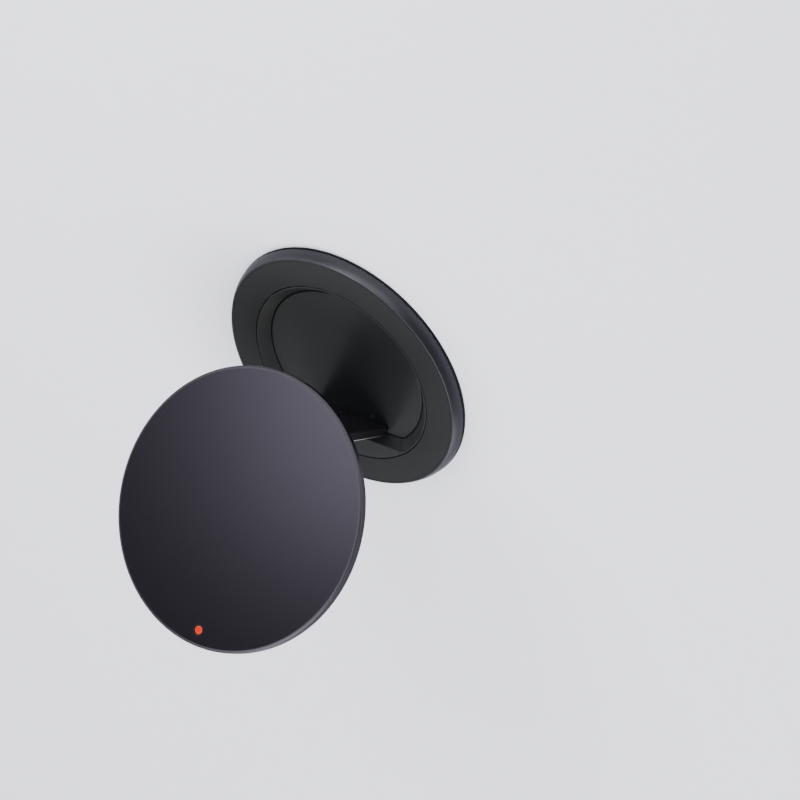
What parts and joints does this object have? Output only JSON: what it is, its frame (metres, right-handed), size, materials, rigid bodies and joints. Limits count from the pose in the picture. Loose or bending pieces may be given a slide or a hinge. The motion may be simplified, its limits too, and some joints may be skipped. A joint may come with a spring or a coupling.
{
  "type": "magnetic phone ring holder",
  "caption": "Round magnetic phone ring holder: a thin disc folds out on a hinged arm from a swivelling pocket in a flat magnetic base, as a finger grip or a stand.",
  "frame": {"origin": "centre of the flat magnetic face", "axes": "+Z leaves the magnetic face, X runs along both hinges, and the open disc faces -Y"},
  "size_m": [0.0572, 0.0582, 0.0591],
  "materials": {
    "graphite_metal": "dark anodised, fine blasted satin",
    "graphite_disc": "dark anodised, fine blasted satin",
    "black_face": "matte soft-touch",
    "black_pad": "matte",
    "black_core": "black satin coating",
    "black_floor": "black semi-gloss coating",
    "black_arm": "black satin coating",
    "black_sheet": "black satin coating",
    "sheet_steel": "rolled",
    "pin_steel": "ground",
    "nickel_magnet": "nickel plated",
    "glide_plastic": "plain",
    "orange_marker": "enamel"
  },
  "bodies": {
    "base": {"base_rim": "graphite_metal", "face_ring": "black_face", "back_plate": "sheet_steel", "back_pad": "black_pad", "glide_ring": "glide_plastic", "magnet_01": "nickel_magnet", "magnet_02": "nickel_magnet", "magnet_03": "nickel_magnet", "magnet_04": "nickel_magnet", "magnet_05": "nickel_magnet", "magnet_06": "nickel_magnet", "magnet_07": "nickel_magnet", "magnet_08": "nickel_magnet", "magnet_09": "nickel_magnet", "magnet_10": "nickel_magnet", "magnet_11": "nickel_magnet", "magnet_12": "nickel_magnet", "magnet_13": "nickel_magnet", "magnet_14": "nickel_magnet", "magnet_15": "nickel_magnet", "magnet_16": "nickel_magnet", "magnet_17": "nickel_magnet", "magnet_18": "nickel_magnet"},
    "core": {"swivel_core": "black_core", "pocket_floor": "black_floor", "arm_hinge_pin": "pin_steel", "arm_hinge_washer_left": "pin_steel", "arm_hinge_washer_right": "pin_steel"},
    "arm": {"fold_arm": "black_arm"},
    "disc": {"front_disc": "graphite_disc", "disc_back": "black_sheet", "disc_hinge_block": "black_core", "disc_hinge_pin": "pin_steel", "disc_hinge_washer_left": "pin_steel", "disc_hinge_washer_right": "pin_steel", "marker_dot": "orange_marker"}
  },
  "joints": [
    {"name": "core_swivel", "type": "hinge", "parent": "base", "child": "core", "pos_m": [0, 0, 0], "axis": [0, 0, 1], "continuous": true},
    {"name": "arm_fold", "type": "hinge", "parent": "core", "child": "arm", "pos_m": [0, 0.0126, 0.00195], "axis": [-1, 0, 0], "range_deg": [-58.6, 36.4]},
    {"name": "disc_fold", "type": "hinge", "parent": "arm", "child": "disc", "pos_m": [0, -0.00248, 0.02666], "axis": [1, 0, 0], "range_deg": [-101.41, 63]}
  ],
  "couplings": [
    {"joint": "disc_fold", "follows": "arm_fold", "ratio": 1.7304}
  ]
}
